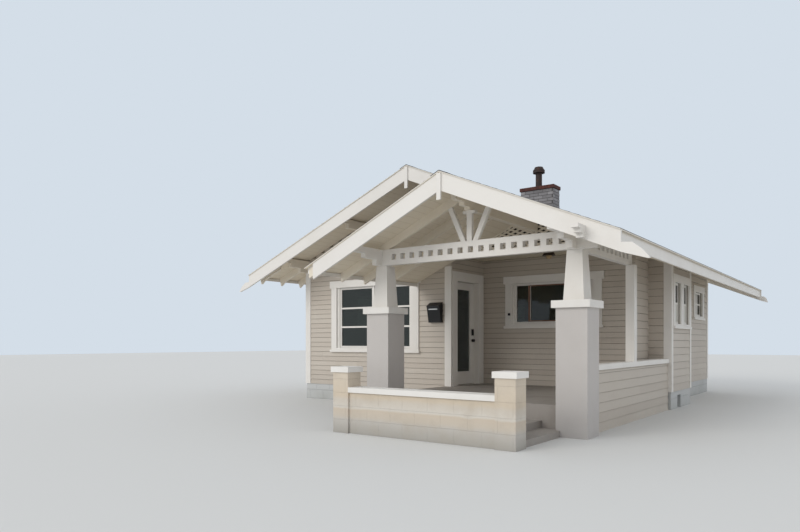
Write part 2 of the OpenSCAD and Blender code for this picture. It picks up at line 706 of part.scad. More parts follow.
// The recess window is one frame with two bars, which part its three lights.
rw_a = rw_x0 + casing + rw_liner;
rw_b = rw_x1 - casing - rw_liner;
rw_bar_r = 25;
rw_share = 0.2;
rw_bars = [rw_a + rw_share * (rw_b - rw_a), rw_b - rw_share * (rw_b - rw_a)];
module recess_bars(y, d)
  for (x = rw_bars) blk(x - rw_bar_r, x + rw_bar_r, y, y + d, rw_z0 + 90 + sash, rw_z1 - casing - sash);
sw_m = (sw_y0 + sw_y1) / 2;
out_r = sash_in + sash_t;
module window_sashes() color(white) {
  lz0 = lw_z0 + 90;
  lz1 = lw_z1 - casing;
  for (x = [lw_x0 + casing, lw_x1 - casing - liner]) blk(x, x + liner, 0, out_r, lz0, lz1);
  blk(lw_m - mull, lw_m + mull, 0, out_r, lz0, lz1);
  sash_x(lw_x0 + casing + liner, lw_m - mull, lz0, lz1, sash_in, 2);
  sash_x(lw_m + mull, lw_x1 - casing - liner, lz0, lz1, sash_in, 2);
  for (x = [rw_x0 + casing, rw_b]) blk(x, x + rw_liner, recess_d, recess_d + out_r, rw_z0 + 90, rw_z1 - casing);
  sash_x(rw_a, rw_b, rw_z0 + 90, rw_z1 - casing, recess_d + sash_in, 0);
  recess_bars(recess_d + sash_in, sash_t);
  for (y = [[sw_y0 + casing, sw_m], [sw_m, sw_y1 - casing]])
    sash_y(y[0], y[1], sw_z0 + 90, sw_z1 - casing, hx - out_r);
  for (k = [0, 1]) sash_y(bw_a(k), bw_b(k), bw_z0 + 90, bw_z1 - casing, bay_x - out_r);
  for (y = left_y) sash_y(y + casing, y + small_w - casing, bw_z0 + 90, bw_z1 - casing, -hx + sash_in);
  for (x = rear_x)
    sash_x(x + casing, x + small_w - casing, bw_z0 + 90, bw_z1 - casing, house_d - out_r, 1);
}
pane_in = 20;
module pane_x(x0, x1, z0, z1, y, bars) difference() {
  blk(x0 + sash, x1 - sash, y + pane_in, y + pane_in + pane_t, z0 + sash, z1 - sash);
  sash_x(x0, x1, z0, z1, y, bars);
}
module pane_y(y0, y1, z0, z1, x) difference() {
  blk(x + pane_in, x + pane_in + pane_t, y0 + sash, y1 - sash, z0 + sash, z1 - sash);
  sash_y(y0, y1, z0, z1, x);
}
module window_panes() color([0.2, 0.24, 0.26, 0.6]) {
  pane_x(lw_x0 + casing + liner, lw_m - mull, lw_z0 + 90, lw_z1 - casing, sash_in, 2);
  pane_x(lw_m + mull, lw_x1 - casing - liner, lw_z0 + 90, lw_z1 - casing, sash_in, 2);
  difference() {
    pane_x(rw_a, rw_b, rw_z0 + 90, rw_z1 - casing, recess_d + sash_in, 0);
    recess_bars(recess_d, 200);
  }
  for (y = [[sw_y0 + casing, sw_m], [sw_m, sw_y1 - casing]])
    pane_y(y[0], y[1], sw_z0 + 90, sw_z1 - casing, hx - out_r);
  for (k = [0, 1]) pane_y(bw_a(k), bw_b(k), bw_z0 + 90, bw_z1 - casing, bay_x - out_r);
  for (y = left_y) pane_y(y + casing, y + small_w - casing, bw_z0 + 90, bw_z1 - casing, -hx + sash_in);
  for (x = rear_x)
    pane_x(x + casing, x + small_w - casing, bw_z0 + 90, bw_z1 - casing, house_d - out_r, 1);
}

door_cas = 180;
module door_casing() color(white) {
  x = door_wall_x;
  blk(x, x + casing_t, open_y - door_cas, open_y, floor_z, open_z);
  blk(x, x + casing_t, open_y2, open_y2 + door_cas, floor_z, open_z);
  blk(x, x + casing_t, open_y - door_cas, open_y2 + door_cas, open_z, open_z + door_cas);
  blk(x - wall_t, x, open_y, open_y2, found_z, floor_z);
}

gap = 6;
lite_y0 = open_y + 180;
lite_y1 = open_y2 - 180;
lite_z0 = floor_z + 270;
lite_z1 = open_z - 150;
door_x = door_wall_x - wall_t + 2;
hinge_r = 7;
hinge_x = door_x - hinge_r - 0.3;
hinge_y = open_y + gap + 4;
module front_door() color(white) difference() {
  blk(door_x, door_x + door_t, open_y + gap, open_y2 - gap, floor_z + gap + 4, open_z - gap);
  blk(door_x - 10, door_x + door_t + 10, lite_y0, lite_y1, lite_z0, lite_z1);
}
// Knuckles on the inner face of the wall, each with its leaf.
module door_hinges() color([0.6, 0.6, 0.6]) for (z = [floor_z + 250, floor_z + 1000, open_z - 300]) {
  translate([hinge_x, hinge_y, z]) cylinder(h = 100, r = hinge_r, $fn = 32);
  blk(door_wall_x - wall_t - 4, door_wall_x - wall_t, open_y - 40, open_y, z, z + 100);
  blk(door_wall_x - wall_t - 6, door_wall_x - wall_t - 4, open_y - 40, hinge_y, z, z + 100);
}
module door_pane() color([0.15, 0.17, 0.18, 0.7])
  blk(door_x + 15, door_x + 27, lite_y0, lite_y1, lite_z0, lite_z1);

lock_z = 1310;
bolt_z = 1480;
knob_r = 30;
plate_h = 130;
plate_w = 62;
lock_y = open_y2 - 75;
module door_lock() color(dark) {
  translate([door_x + door_t, lock_y, lock_z]) rotate([0, 90, 0]) cylinder(h = 55, r = knob_r, $fn = 32);
  blk(door_x + door_t, door_x + door_t + 22, lock_y - plate_w / 2, lock_y + plate_w / 2,
    bolt_z - plate_h / 2, bolt_z + plate_h / 2);
  translate([door_x - 45, lock_y, lock_z]) rotate([0, 90, 0]) cylinder(h = 45, r = knob_r, $fn = 32);
}

chim_x = 661;
chim_y = 2500;
chim_cap = 75;
chim_over = 20;
flue_x = chim_x + 351;
flue_yc = chim_y + chim_d / 2;
flue_h = 328;
cowl_h = 130;
cowl_r = 129;
module chimney() color([0.6, 0.6, 0.62]) difference() {
  blk(chim_x, chim_x + chim_w, chim_y, chim_y + chim_d, ceil_z + ceil_t, chim_z);
  translate([flue_x, flue_yc, chim_z - 400]) cylinder(h = 500, r = flue_r, $fn = 48);
}
module chimney_cap() color([0.3, 0.16, 0.13]) difference() {
  blk(chim_x - chim_over, chim_x + chim_w + chim_over, chim_y - chim_over, chim_y + chim_d + chim_over,
    chim_z, chim_z + chim_cap);
  translate([flue_x, flue_yc, chim_z - 10]) cylinder(h = 200, r = flue_r, $fn = 48);
}
module flue() color([0.25, 0.2, 0.18]) translate([flue_x, flue_yc, chim_z]) {
  difference() {
    translate([0, 0, -400]) cylinder(h = 400 + chim_cap + flue_h, r = flue_r, $fn = 48);
    translate([0, 0, -350]) cylinder(h = 900, r = flue_r - 8, $fn = 48);
  }
  translate([0, 0, chim_cap + flue_h]) {
    cylinder(h = cowl_h / 2, r = cowl_r, $fn = 48);
    translate([0, 0, cowl_h / 2]) cylinder(h = cowl_h / 2, r1 = cowl_r - 12, r2 = cowl_r - 40, $fn = 48);
  }
}

// Closed box with a sloping lid, deeper at the top than at the foot.
box_x0 = -87;
box_x1 = 205;
box_z0 = 1665;
box_h = 395;
box_d = 140;
box_foot = 80;
module mailbox() color([0.05, 0.05, 0.06])
  yz([[0, box_z0], [0, box_z0 + box_h], [-30, box_z0 + box_h], [-box_d - 12, box_z0 + box_h - 75],
    [-box_d - 12, box_z0 + box_h - 100], [-box_d, box_z0 + box_h - 100], [-box_foot, box_z0]],
    box_x0, box_x1);

// A dished plate on the ceiling with a small bowl under it.
light_x = 2047;
light_y = 830;
light_r = 125;
module porch_light() color([0.5, 0.45, 0.4]) translate([light_x, light_y, ceil_z]) {
  translate([0, 0, -60]) cylinder(h = 60, r1 = light_r, r2 = light_r - 30, $fn = 48);
  translate([0, 0, -120]) cylinder(h = 60, r1 = 35, r2 = 60, $fn = 48);
}

foundation();
house_floor();
porch_floor();
entry_steps();
front_wall();
door_wall();
door_header();
recess_wall();
right_wall();
left_wall();
rear_wall();
recess_header();
gable_wall();
bay_walls();
ceiling();
main_roof_left();
main_roof_right();
porch_roof_left();
main_bargeboards();
porch_bargeboards();
rear_bargeboards();
eave_fascias();
rafter_tails();
porch_rafters();
porch_ridge_beam();
side_beams();
front_beam();
gable_fan();
gable_lattice();
lookouts();
piers();
pier_caps();
columns();
low_wall();
pilasters();
terrace_caps();
side_wall();
side_wall_cap();
beam_post();
corner_boards();
window_casings();
window_sashes();
window_panes();
door_casing();
door_hinges();
front_door();
door_pane();
door_lock();
chimney();
chimney_cap();
flue();
mailbox();
porch_light();
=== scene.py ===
"""Looks of a timber bungalow with a gabled porch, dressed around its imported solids. Metres, +Z up."""
import math

import bpy
from mathutils import Matrix, Vector


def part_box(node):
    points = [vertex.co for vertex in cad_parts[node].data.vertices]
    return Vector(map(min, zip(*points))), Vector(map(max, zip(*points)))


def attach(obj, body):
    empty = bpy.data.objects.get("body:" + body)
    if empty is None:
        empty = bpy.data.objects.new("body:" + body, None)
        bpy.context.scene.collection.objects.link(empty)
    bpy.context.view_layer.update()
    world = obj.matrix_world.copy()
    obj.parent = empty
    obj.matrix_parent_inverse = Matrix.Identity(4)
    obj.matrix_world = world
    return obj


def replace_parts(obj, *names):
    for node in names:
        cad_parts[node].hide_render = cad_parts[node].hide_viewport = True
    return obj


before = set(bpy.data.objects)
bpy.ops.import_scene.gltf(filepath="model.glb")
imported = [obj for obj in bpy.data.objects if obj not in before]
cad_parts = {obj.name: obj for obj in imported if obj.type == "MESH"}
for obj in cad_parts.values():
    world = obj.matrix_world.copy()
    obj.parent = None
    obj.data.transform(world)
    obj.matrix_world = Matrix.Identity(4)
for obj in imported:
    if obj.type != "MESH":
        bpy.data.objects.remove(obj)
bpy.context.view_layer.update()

# Foundation: low walls of painted concrete block under the house, with flush joints.
# The paint is a pale bluish grey, stained by splashes close to the ground.


def tint(r, g, b):
    """A paint chip's screen colour, 0 to 255, as the linear colour a shader takes."""
    def part(v):
        v /= 255
        return v / 12.92 if v <= 0.04045 else ((v + 0.055) / 1.055) ** 2.4
    return (part(r), part(g), part(b), 1.0)


def add(tree, kind, **values):
    """A node in tree; values set its properties or, by input name, its sockets."""
    n = tree.nodes.new(kind)
    for key, value in values.items():
        if hasattr(n, key):
            setattr(n, key, value)
        else:
            n.inputs[key.replace("_", " ")].default_value = value
    return n


def feed(tree, node, values):
    """Gives inputs of a node, by number or name, a socket or a plain value."""
    for key, value in values:
        if isinstance(value, bpy.types.NodeSocket):
            tree.links.new(value, node.inputs[key])
        else:
            node.inputs[key].default_value = value


def maths(tree, op, a, b=0.5, clamp=False):
    """A Math node on sockets or numbers."""
    n = add(tree, "ShaderNodeMath", operation=op, use_clamp=clamp)
    feed(tree, n, ((0, a), (1, b)))
    return n.outputs[0]


def blend(tree, factor, a, b):
    """Colour a turning into colour b as factor goes from 0 to 1."""
    n = add(tree, "ShaderNodeMix", data_type="RGBA")
    feed(tree, n, ((0, factor), (6, a), (7, b)))
    return n.outputs[2]


# Wear that every outdoor paint on the house shares: soft patches, splashes near the ground, fine grain.
wear = bpy.data.node_groups.new("paint_wear", "ShaderNodeTree")
wear.interface.new_socket("Vector", in_out="INPUT", socket_type="NodeSocketVector")
for label in ("Patch Scale", "Splash Height", "Grain Scale"):
    wear.interface.new_socket(label, in_out="INPUT", socket_type="NodeSocketFloat")
for label in ("Patches", "Splash", "Grain"):
    wear.interface.new_socket(label, in_out="OUTPUT", socket_type="NodeSocketFloat")
w_in, w_out = wear.nodes.new("NodeGroupInput"), wear.nodes.new("NodeGroupOutput")
patch = add(wear, "ShaderNodeTexNoise", Detail=6.0, Roughness=0.6)
feed(wear, patch, (("Vector", w_in.outputs["Vector"]), ("Scale", w_in.outputs["Patch Scale"])))
spread = add(wear, "ShaderNodeMapRange", From_Min=0.48, From_Max=0.72)
feed(wear, spread, (("Value", patch.outputs["Fac"]),))
height = add(wear, "ShaderNodeSeparateXYZ")
feed(wear, height, ((0, w_in.outputs["Vector"]),))
height_share = maths(wear, "DIVIDE", height.outputs["Z"], w_in.outputs["Splash Height"])
low = maths(wear, "SUBTRACT", 1.0, height_share, clamp=True)
ragged = maths(wear, "MULTIPLY", low, maths(wear, "ADD", patch.outputs["Fac"], 0.35), clamp=True)
fine = add(wear, "ShaderNodeTexNoise", Detail=4.0, Roughness=0.7)
feed(wear, fine, (("Vector", w_in.outputs["Vector"]), ("Scale", w_in.outputs["Grain Scale"])))
feed(wear, w_out, (("Patches", spread.outputs["Result"]), ("Splash", ragged), ("Grain", fine.outputs["Fac"])))


class Finish:
    """A material with its shader, its place on the object and its wear at hand.
    patch_scale and grain are pattern scales, and splash is how high the ground's dirt reaches."""

    def __init__(self, name, roughness, patch_scale, splash, grain):
        self.material = bpy.data.materials.new(name)
        self.material.use_nodes = True
        self.tree = self.material.node_tree
        self.shader = self.tree.nodes["Principled BSDF"]
        self.shader.inputs["Roughness"].default_value = roughness
        self.place = self.tree.nodes.new("ShaderNodeTexCoord").outputs["Object"]
        self.wear = add(self.tree, "ShaderNodeGroup", node_tree=wear)
        feed(self.tree, self.wear, (("Vector", self.place), ("Patch Scale", patch_scale),
                                    ("Splash Height", splash), ("Grain Scale", grain)))

    def coordinate(self, axis):
        """How far along X, Y or Z the surface lies."""
        split = add(self.tree, "ShaderNodeSeparateXYZ")
        feed(self.tree, split, ((0, self.place),))
        return split.outputs[axis]

    def tone(self):
        """The random tone that each laid unit carries, 0 to 1."""
        return add(self.tree, "ShaderNodeAttribute", attribute_name="tone").outputs["Fac"]

    def mask(self, name, amount=1.0):
        """Patches, Splash or Grain from the shared wear, times amount."""
        return maths(self.tree, "MULTIPLY", self.wear.outputs[name], amount)

    def colour(self, value):
        feed(self.tree, self.shader, (("Base Color", value),))

    def weather(self, fresh, faded, share, splashed=None, splash_share=0.0):
        """A colour that fades in patches and, where splashed is given, is stained near the ground."""
        aged = blend(self.tree, self.mask("Patches", share), fresh, faded)
        if splashed:
            aged = blend(self.tree, self.mask("Splash", splash_share), aged, splashed)
        self.colour(aged)

    def relief(self, heights, distance):
        """Bump from the sum of the given heights, distance deep."""
        total = heights[0]
        for h in heights[1:]:
            total = maths(self.tree, "ADD", total, h)
        bump = add(self.tree, "ShaderNodeBump", Strength=1.0, Distance=distance)
        feed(self.tree, bump, (("Height", total),))
        feed(self.tree, self.shader, (("Normal", bump.outputs["Normal"]),))


def dress(finish, *nodes):
    """Puts a finish on all the faces of the named solids."""
    for name in nodes:
        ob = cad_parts[name]
        if not ob.material_slots:
            ob.data.materials.append(finish.material)
        for slot in ob.material_slots:
            slot.material = finish.material


def block_courses(finish, length, rise, joint):
    """Height map of half-bonded blocks on upright faces: 1 on a block, 0 in a joint."""
    t = finish.tree
    run = maths(t, "ADD", finish.coordinate("X"), finish.coordinate("Y"))
    flat = add(t, "ShaderNodeCombineXYZ")
    feed(t, flat, (("X", run), ("Y", finish.coordinate("Z"))))
    bond = add(t, "ShaderNodeTexBrick", Scale=1.0, Mortar_Size=joint, Mortar_Smooth=0.3,
               Brick_Width=length, Row_Height=rise, offset=0.5)
    feed(t, bond, (("Vector", flat.outputs[0]),))
    return maths(t, "SUBTRACT", 1.0, bond.outputs["Fac"])


block_l, block_h, block_gap = 0.4, 0.2, 0.006
block = Finish("painted_block", roughness=0.8, patch_scale=1.6, splash=0.45, grain=70)
block.weather(tint(200, 201, 201), tint(182, 182, 180), 0.4, tint(140, 142, 132), 0.45)
block.relief([block_courses(block, block_l, block_h, block_gap), block.mask("Grain", 0.35)], 0.006)
dress(block, "foundation")

# Floor: narrow boards laid on the joists, seen through the door and the windows.
# They are oiled timber, each board a little different.
boards = Finish("floor_boards", roughness=0.45, patch_scale=0.8, splash=0.1, grain=25)
t = boards.tree
floor_board_w = 0.07
strip = maths(t, "FLOOR", maths(t, "DIVIDE", boards.coordinate("X"), floor_board_w))
strip_tone = add(t, "ShaderNodeTexWhiteNoise", noise_dimensions="1D")
feed(t, strip_tone, (("W", strip),))
boards.colour(blend(t, strip_tone.outputs["Value"], tint(140, 100, 66), tint(164, 122, 84)))
dress(boards, "house_floor")

# Porch slab and steps: concrete, cast on the ground and trowelled smooth.
# Feet and weather have worn it darker in patches.
concrete = Finish("trowelled_concrete", roughness=0.85, patch_scale=2.2, splash=0.15, grain=90)
concrete.weather(tint(158, 152, 146), tint(134, 127, 120), 0.55)
concrete.relief([concrete.mask("Grain")], 0.003)
dress(concrete, "porch_floor", "entry_steps")

# Sheathing: the skin of the walls under the boards, nailed to the studs.
# Its dark colour is painted shadow: outside it shows as the dark line under each board, and inside as dull
# plaster.
# This dark tone paints the shadow line under each board's butt, on top of the boards' own shadow.
sheathing_shadow_tone = tint(122, 114, 100)
sheathing_shade = Finish("wall_sheathing_painted_shadow", roughness=0.9, patch_scale=1.5, splash=0.1, grain=60)
sheathing_shade.colour(sheathing_shadow_tone)
dress(sheathing_shade, "front_wall", "recess_wall", "right_wall", "left_wall", "rear_wall", "gable_wall",
      "bay_walls", "side_wall")

# Siding: lap boards, thin at the top edge and thick at the butt, nailed on over the sheathing.
# Boards run between the corner boards and the casings, and long runs are butt-jointed out of step.
# They are painted greige, each board slightly its own tone.
half_w = -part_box("front_wall")[0].x
door_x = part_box("door_wall")[1].x
recess_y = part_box("recess_wall")[0].y
house_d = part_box("rear_wall")[1].y
found_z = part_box("foundation")[1].z
floor_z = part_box("porch_floor")[1].z
ceil_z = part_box("ceiling")[0].z
bay_lo, bay_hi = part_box("bay_walls")
ridge_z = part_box("main_roof_left")[1].z
# How steep the main roof is at the right and at the left, and the porch roof at its left.
pitch, pitch_l, pitch_p = 0.424, 0.404, 0.452
porch_x = 2.16
deck_t = 0.045
porch_top = ridge_z - pitch * porch_x


def roof_z(x):
    """Height of the main roof's surface over x."""
    return ridge_z - (pitch_l * -x if x < 0 else pitch * x)


def laying_tree():
    """Sets one wedge-shaped unit on each point, whose size is the unit's length, thickness and height and
    whose turn is its direction. The top edge is pulled back by Taper, and each unit gets a random tone."""
    g = bpy.data.node_groups.new("laying_units", "GeometryNodeTree")
    g.interface.new_socket("Geometry", in_out="INPUT", socket_type="NodeSocketGeometry")
    for label, kind in (("Taper", "Float"), ("Seed", "Int"), ("Finish", "Material")):
        g.interface.new_socket(label, in_out="INPUT", socket_type="NodeSocket" + kind)
    g.interface.new_socket("Geometry", in_out="OUTPUT", socket_type="NodeSocketGeometry")
    given, out = g.nodes.new("NodeGroupInput"), g.nodes.new("NodeGroupOutput")
    unit = g.nodes.new("GeometryNodeMeshCube")
    shift = add(g, "GeometryNodeTransform", Translation=(0.5, -0.5, 0.5))
    feed(g, shift, (("Geometry", unit.outputs["Mesh"]),))
    parts = g.nodes.new("ShaderNodeSeparateXYZ")
    feed(g, parts, ((0, g.nodes.new("GeometryNodeInputPosition").outputs[0]),))
    top = maths(g, "GREATER_THAN", parts.outputs["Z"], 0.5)
    face = maths(g, "LESS_THAN", parts.outputs["Y"], -0.5)
    top_face = maths(g, "MULTIPLY", top, face)
    pull = g.nodes.new("ShaderNodeCombineXYZ")
    feed(g, pull, (("Y", maths(g, "MULTIPLY", top_face, given.outputs["Taper"])),))
    wedge = g.nodes.new("GeometryNodeSetPosition")
    feed(g, wedge, (("Geometry", shift.outputs[0]), ("Offset", pull.outputs[0])))
    turn = add(g, "GeometryNodeInputNamedAttribute", data_type="FLOAT_VECTOR", Name="turn")
    as_turn = g.nodes.new("FunctionNodeEulerToRotation")
    feed(g, as_turn, ((0, turn.outputs["Attribute"]),))
    size = add(g, "GeometryNodeInputNamedAttribute", data_type="FLOAT_VECTOR", Name="size")
    spots = g.nodes.new("GeometryNodeInstanceOnPoints")
    feed(g, spots, (("Points", given.outputs["Geometry"]), ("Instance", wedge.outputs[0]),
                    ("Rotation", as_turn.outputs[0]), ("Scale", size.outputs["Attribute"])))
    chance = add(g, "FunctionNodeRandomValue", data_type="FLOAT")
    feed(g, chance, (("Seed", given.outputs["Seed"]),))
    tone = add(g, "GeometryNodeStoreNamedAttribute", data_type="FLOAT", domain="INSTANCE", Name="tone")
    feed(g, tone, (("Geometry", spots.outputs[0]),))
    g.links.new([s for s in chance.outputs if s.enabled][0],
                [s for s in tone.inputs if s.name == "Value" and s.enabled][0])
    real = g.nodes.new("GeometryNodeRealizeInstances")
    feed(g, real, ((0, tone.outputs[0]),))
    coat = g.nodes.new("GeometryNodeSetMaterial")
    feed(g, coat, (("Geometry", real.outputs[0]), ("Material", given.outputs["Finish"])))
    feed(g, out, (("Geometry", coat.outputs[0]),))
    return g


laying = laying_tree()


def lay(name, units, finish, seed, taper=0.0, body="house"):
    """Makes one piece of many units. A unit is (corner, along, outward, size)."""
    me = bpy.data.meshes.new(name)
    me.from_pydata([u[0] for u in units], [], [])
    turns = me.attributes.new("turn", "FLOAT_VECTOR", "POINT")
    sizes = me.attributes.new("size", "FLOAT_VECTOR", "POINT")
    for i, (_, along, outward, size) in enumerate(units):
        along, inward = Vector(along), -Vector(outward)
        up = along.cross(inward)
        turns.data[i].vector = Matrix((along, inward, up)).transposed().to_euler()
        sizes.data[i].vector = size
    ob = bpy.data.objects.new(name, me)
    bpy.context.scene.collection.objects.link(ob)
    mod = ob.modifiers.new("laying", "NODES")
    mod.node_group = laying
    named = {s.name: s.identifier for s in laying.interface.items_tree if s.in_out == "INPUT"}
    mod[named["Taper"]] = taper
    mod[named["Seed"]] = seed
    mod[named["Finish"]] = finish.material
    real = bpy.data.meshes.new_from_object(ob.evaluated_get(bpy.context.evaluated_depsgraph_get()))
    ob.modifiers.remove(mod)
    ob.data = real
    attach(ob, body)
    return ob


siding = Finish("siding_paint", roughness=0.55, patch_scale=1.1, splash=0.7, grain=45)
board_paint = blend(siding.tree, siding.tone(), tint(198, 189, 177), tint(191, 181, 169))
siding.weather(board_paint, tint(184, 172, 157), 0.3, tint(160, 152, 141), 0.35)
siding.relief([siding.mask("Grain")], 0.0012)
dress(siding, "recess_header")

# A board's thickness at its butt and its tip, the gap under it where the dark sheathing paints a shadow line,
# and how high each course rises.
butt, tip, reveal = 0.017, 0.004, 0.006
board_taper = 1 - tip / butt
front_course, side_course = 0.105, 0.14
# How far casings and sills cover the boards, the least piece worth nailing, and where long runs join.
casing_lap, sill_lap, scrap = 0.07, 0.03, 0.02
board_l, stagger, end_gap, shortest_board = 3.6, 1.3, 0.002, 0.4
# Openings, each as its start and end along the wall, its foot and its head.
left_window = (-2.567, -0.51, 1.15, 2.47)
recess_window = (1.05, 2.75, 1.645, 2.465)
side_window = (house_d - 1.46, house_d - 0.68, 1.91, 2.49)
bay_window = (2.343, 3.478, 1.63, 2.43)
doorway = (0.2, 1.06, 0.0, 2.485)
small_half, small_foot, small_head = 0.39, 1.63, 2.43


def small_windows(*centres):
    """Openings of small windows with these centres, in a wall whose boards run against its axis."""
    return [(-(c + small_half), -(c - small_half), small_foot, small_head) for c in centres]


def courses(z0, z1, course, left, right, holes):
    """Runs of board between left(z) and right(z), cut round the holes."""
    z = z0
    while z < z1 - scrap:
        top = min(z + course, z1)
        mid = (z + top) / 2
        runs = [(left(mid), right(mid), z, top)]
        for start, end, foot, head in holes:
            a0, a1 = start - casing_lap, end + casing_lap
            if top > foot - sill_lap and z < head + sill_lap:
                runs = [r for a, b, lo, hi in runs for r in (
                    (a, min(b, a0), lo, hi), (max(a, a1), b, lo, hi),
                    (max(a, a0), min(b, a1), lo, min(hi, foot - sill_lap)),
                    (max(a, a0), min(b, a1), max(lo, head + sill_lap), hi))]
        for a, b, lo, hi in runs:
            if b - a > scrap and hi - lo > scrap:
                yield a, b, lo, hi
        z += course


def clad(origin, along, outward, z0, z1, course, left, right, holes=()):
    """Board units for one wall face, long runs butt-jointed out of step from course to course.
    left and right may be numbers or functions of the height."""
    left_of = left if callable(left) else lambda z: left
    right_of = right if callable(right) else lambda z: right
    for a, b, lo, hi in courses(z0, z1, course, left_of, right_of, holes):
        joint = round((lo - z0) / course) * stagger % board_l + math.floor(a / board_l) * board_l
        starts = [a]
        while b - a > board_l and joint < b - shortest_board:
            if joint > a + shortest_board:
                starts.append(joint)
            joint += board_l
        for start, stop in zip(starts, starts[1:] + [b + end_gap]):
            at = Vector(origin) + Vector(along) * start
            at.z = lo
            yield at, along, outward, (stop - start - end_gap, butt, hi - lo - reveal)


X, Y = Vector((1, 0, 0)), Vector((0, 1, 0))


def rake_left(z):
    return max(-half_w, -(ridge_z - deck_t - z) / pitch_l)


def rake_right(z):
    return min(half_w, (ridge_z - deck_t - z) / pitch)


def porch_rake(z):
    """Where the front gable wall comes out above the left porch slope, with its boards lapped into it."""
    slope_lap = 0.04
    return min(porch_x - (porch_top - z) / pitch_p + slope_lap, rake_right(z))


def bay_rake(z):
    return min(bay_hi.x, (ridge_z - deck_t - z) / pitch)


front = list(clad((0, 0, 0), X, -Y, found_z, ceil_z, front_course, -half_w, door_x, [left_window]))
front += clad((0, 0, 0), X, -Y, ceil_z, ridge_z - deck_t, front_course, rake_left, porch_rake)
lay("siding_front", front, siding, seed=3, taper=board_taper)

recess = list(clad((0, recess_y, 0), X, -Y, floor_z, ceil_z, front_course, door_x, half_w, [recess_window]))
recess += clad((door_x, 0, 0), Y, X, floor_z, ceil_z, front_course, 0, recess_y, [doorway])
lay("siding_recess", recess, siding, seed=4, taper=board_taper)

eave_z = roof_z(half_w) - deck_t
right = list(clad((half_w, 0, 0), Y, X, floor_z, eave_z, side_course, recess_y, bay_lo.y))
right += clad((half_w, 0, 0), Y, X, ceil_z, eave_z, side_course, 0.0, recess_y)
right += clad((half_w, 0, 0), Y, X, found_z, eave_z, side_course, bay_hi.y, house_d, [side_window])
lay("siding_right", right, siding, seed=5, taper=board_taper)

bay_eave = roof_z(bay_hi.x) - deck_t
bay = list(clad((bay_hi.x, 0, 0), Y, X, found_z, bay_eave, side_course, bay_lo.y, bay_hi.y, [bay_window]))
bay += clad((0, bay_lo.y, 0), X, -Y, found_z, eave_z, side_course, half_w, bay_rake)
bay += clad((0, bay_hi.y, 0), -X, Y, found_z, eave_z, side_course, lambda z: -bay_rake(z), -half_w)
lay("siding_bay", bay, siding, seed=6, taper=board_taper)

rear_in = 1.54
rear = clad((0, house_d, 0), -X, Y, found_z, ridge_z - deck_t, front_course, lambda z: -rake_right(z),
            lambda z: -rake_left(z), small_windows(half_w - rear_in, rear_in - half_w))
lay("siding_rear", list(rear), siding, seed=7, taper=board_taper)

left_centres = (0.2 * house_d + 0.54, house_d - 2.36)
left = clad((-half_w, 0, 0), -Y, -X, found_z, roof_z(-half_w) - deck_t, front_course, -house_d, 0.0,
            small_windows(*left_centres))
lay("siding_left", list(left), siding, seed=8, taper=board_taper)

# Porch side wall: a low stud wall beside the slab, nailed up like the walls of the house.
# It is clad in the wider boards, down to the ground outside and down to the slab inside.
side_lo, side_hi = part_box("side_wall")
porch_side = list(clad((side_hi.x, 0, 0), Y, X, side_lo.z, side_hi.z, side_course, side_lo.y, side_hi.y))
porch_side += clad((side_lo.x, 0, 0), -Y, -X, floor_z, side_hi.z, side_course, -side_hi.y, -side_lo.y)
lay("siding_porch", porch_side, siding, seed=9, taper=board_taper)

# Trim: corner boards, casings, columns, beams and bargeboards of planed timber, nailed on.
# They are painted warm white, and rain has greyed the paint a little in soft patches.
trim = Finish("trim_paint", roughness=0.5, patch_scale=1.8, splash=0.25, grain=40)
trim.weather(tint(229, 225, 219), tint(214, 208, 199), 0.35, tint(178, 172, 160), 0.3)
trim.relief([trim.mask("Grain")], 0.0008)
dress(trim, "main_bargeboards", "porch_bargeboards", "rear_bargeboards", "eave_fascias", "side_beams",
      "front_beam", "gable_fan", "beam_post", "corner_boards", "window_casings", "window_sashes",
      "door_casing", "columns")

# Jambs of the front doorway: the wall's cut edge, lined with planed boards and painted with the trim.
# The rest of that wall is the dark sheathing colour, a painted shadow under its boards like on the others.
lining_t = 0.003
jamb_and_shadow = Finish("jamb_paint_and_shadow", roughness=0.5, patch_scale=1.8, splash=0.25, grain=40)
t = jamb_and_shadow.tree
past_start = maths(t, "GREATER_THAN", jamb_and_shadow.coordinate("Y"), doorway[0] - lining_t)
before_end = maths(t, "LESS_THAN", jamb_and_shadow.coordinate("Y"), doorway[1] + lining_t)
under_head = maths(t, "LESS_THAN", jamb_and_shadow.coordinate("Z"), doorway[3] + lining_t)
in_way = maths(t, "MULTIPLY", maths(t, "MULTIPLY", past_start, before_end), under_head)
# Outside the doorway the colour is the sheathing's painted shadow tone.
jamb_and_shadow.colour(blend(t, in_way, sheathing_shadow_tone, tint(226, 221, 213)))
dress(jamb_and_shadow, "door_wall", "door_header")

# Rafters, ridge beam and lookouts: planed timber, cut to shape and left open under the eaves.
# Their paint is creamier than that of the trim.
timber = Finish("timber_paint", roughness=0.6, patch_scale=2.0, splash=0.2, grain=35)
timber.weather(tint(232, 223, 207), tint(217, 206, 186), 0.4)
timber.relief([timber.mask("Grain")], 0.001)
dress(timber, "rafter_tails", "porch_rafters", "porch_ridge_beam", "lookouts")

# Ceiling of the recess: narrow beaded boards, nailed up level and painted cream.
# Dirt darkens the grooves between them.


def board_lines(finish, axis, width):
    """1 on a board, falling to 0 in the groove between boards that lie side by side along axis."""
    t = finish.tree
    groove_slope = 14.0
    phase = maths(t, "FRACT", maths(t, "DIVIDE", finish.coordinate(axis), width))
    from_middle = maths(t, "ABSOLUTE", maths(t, "SUBTRACT", phase, 0.5))
    return maths(t, "MULTIPLY", maths(t, "SUBTRACT", 0.5, from_middle), groove_slope, clamp=True)


lining_board_w = 0.09
lining = Finish("ceiling_lining", roughness=0.6, patch_scale=1.5, splash=0.1, grain=40)
grooves = board_lines(lining, "X", lining_board_w)
lining.colour(blend(lining.tree, grooves, tint(168, 156, 132), tint(219, 209, 188)))
lining.relief([grooves], 0.003)
dress(lining, "ceiling")

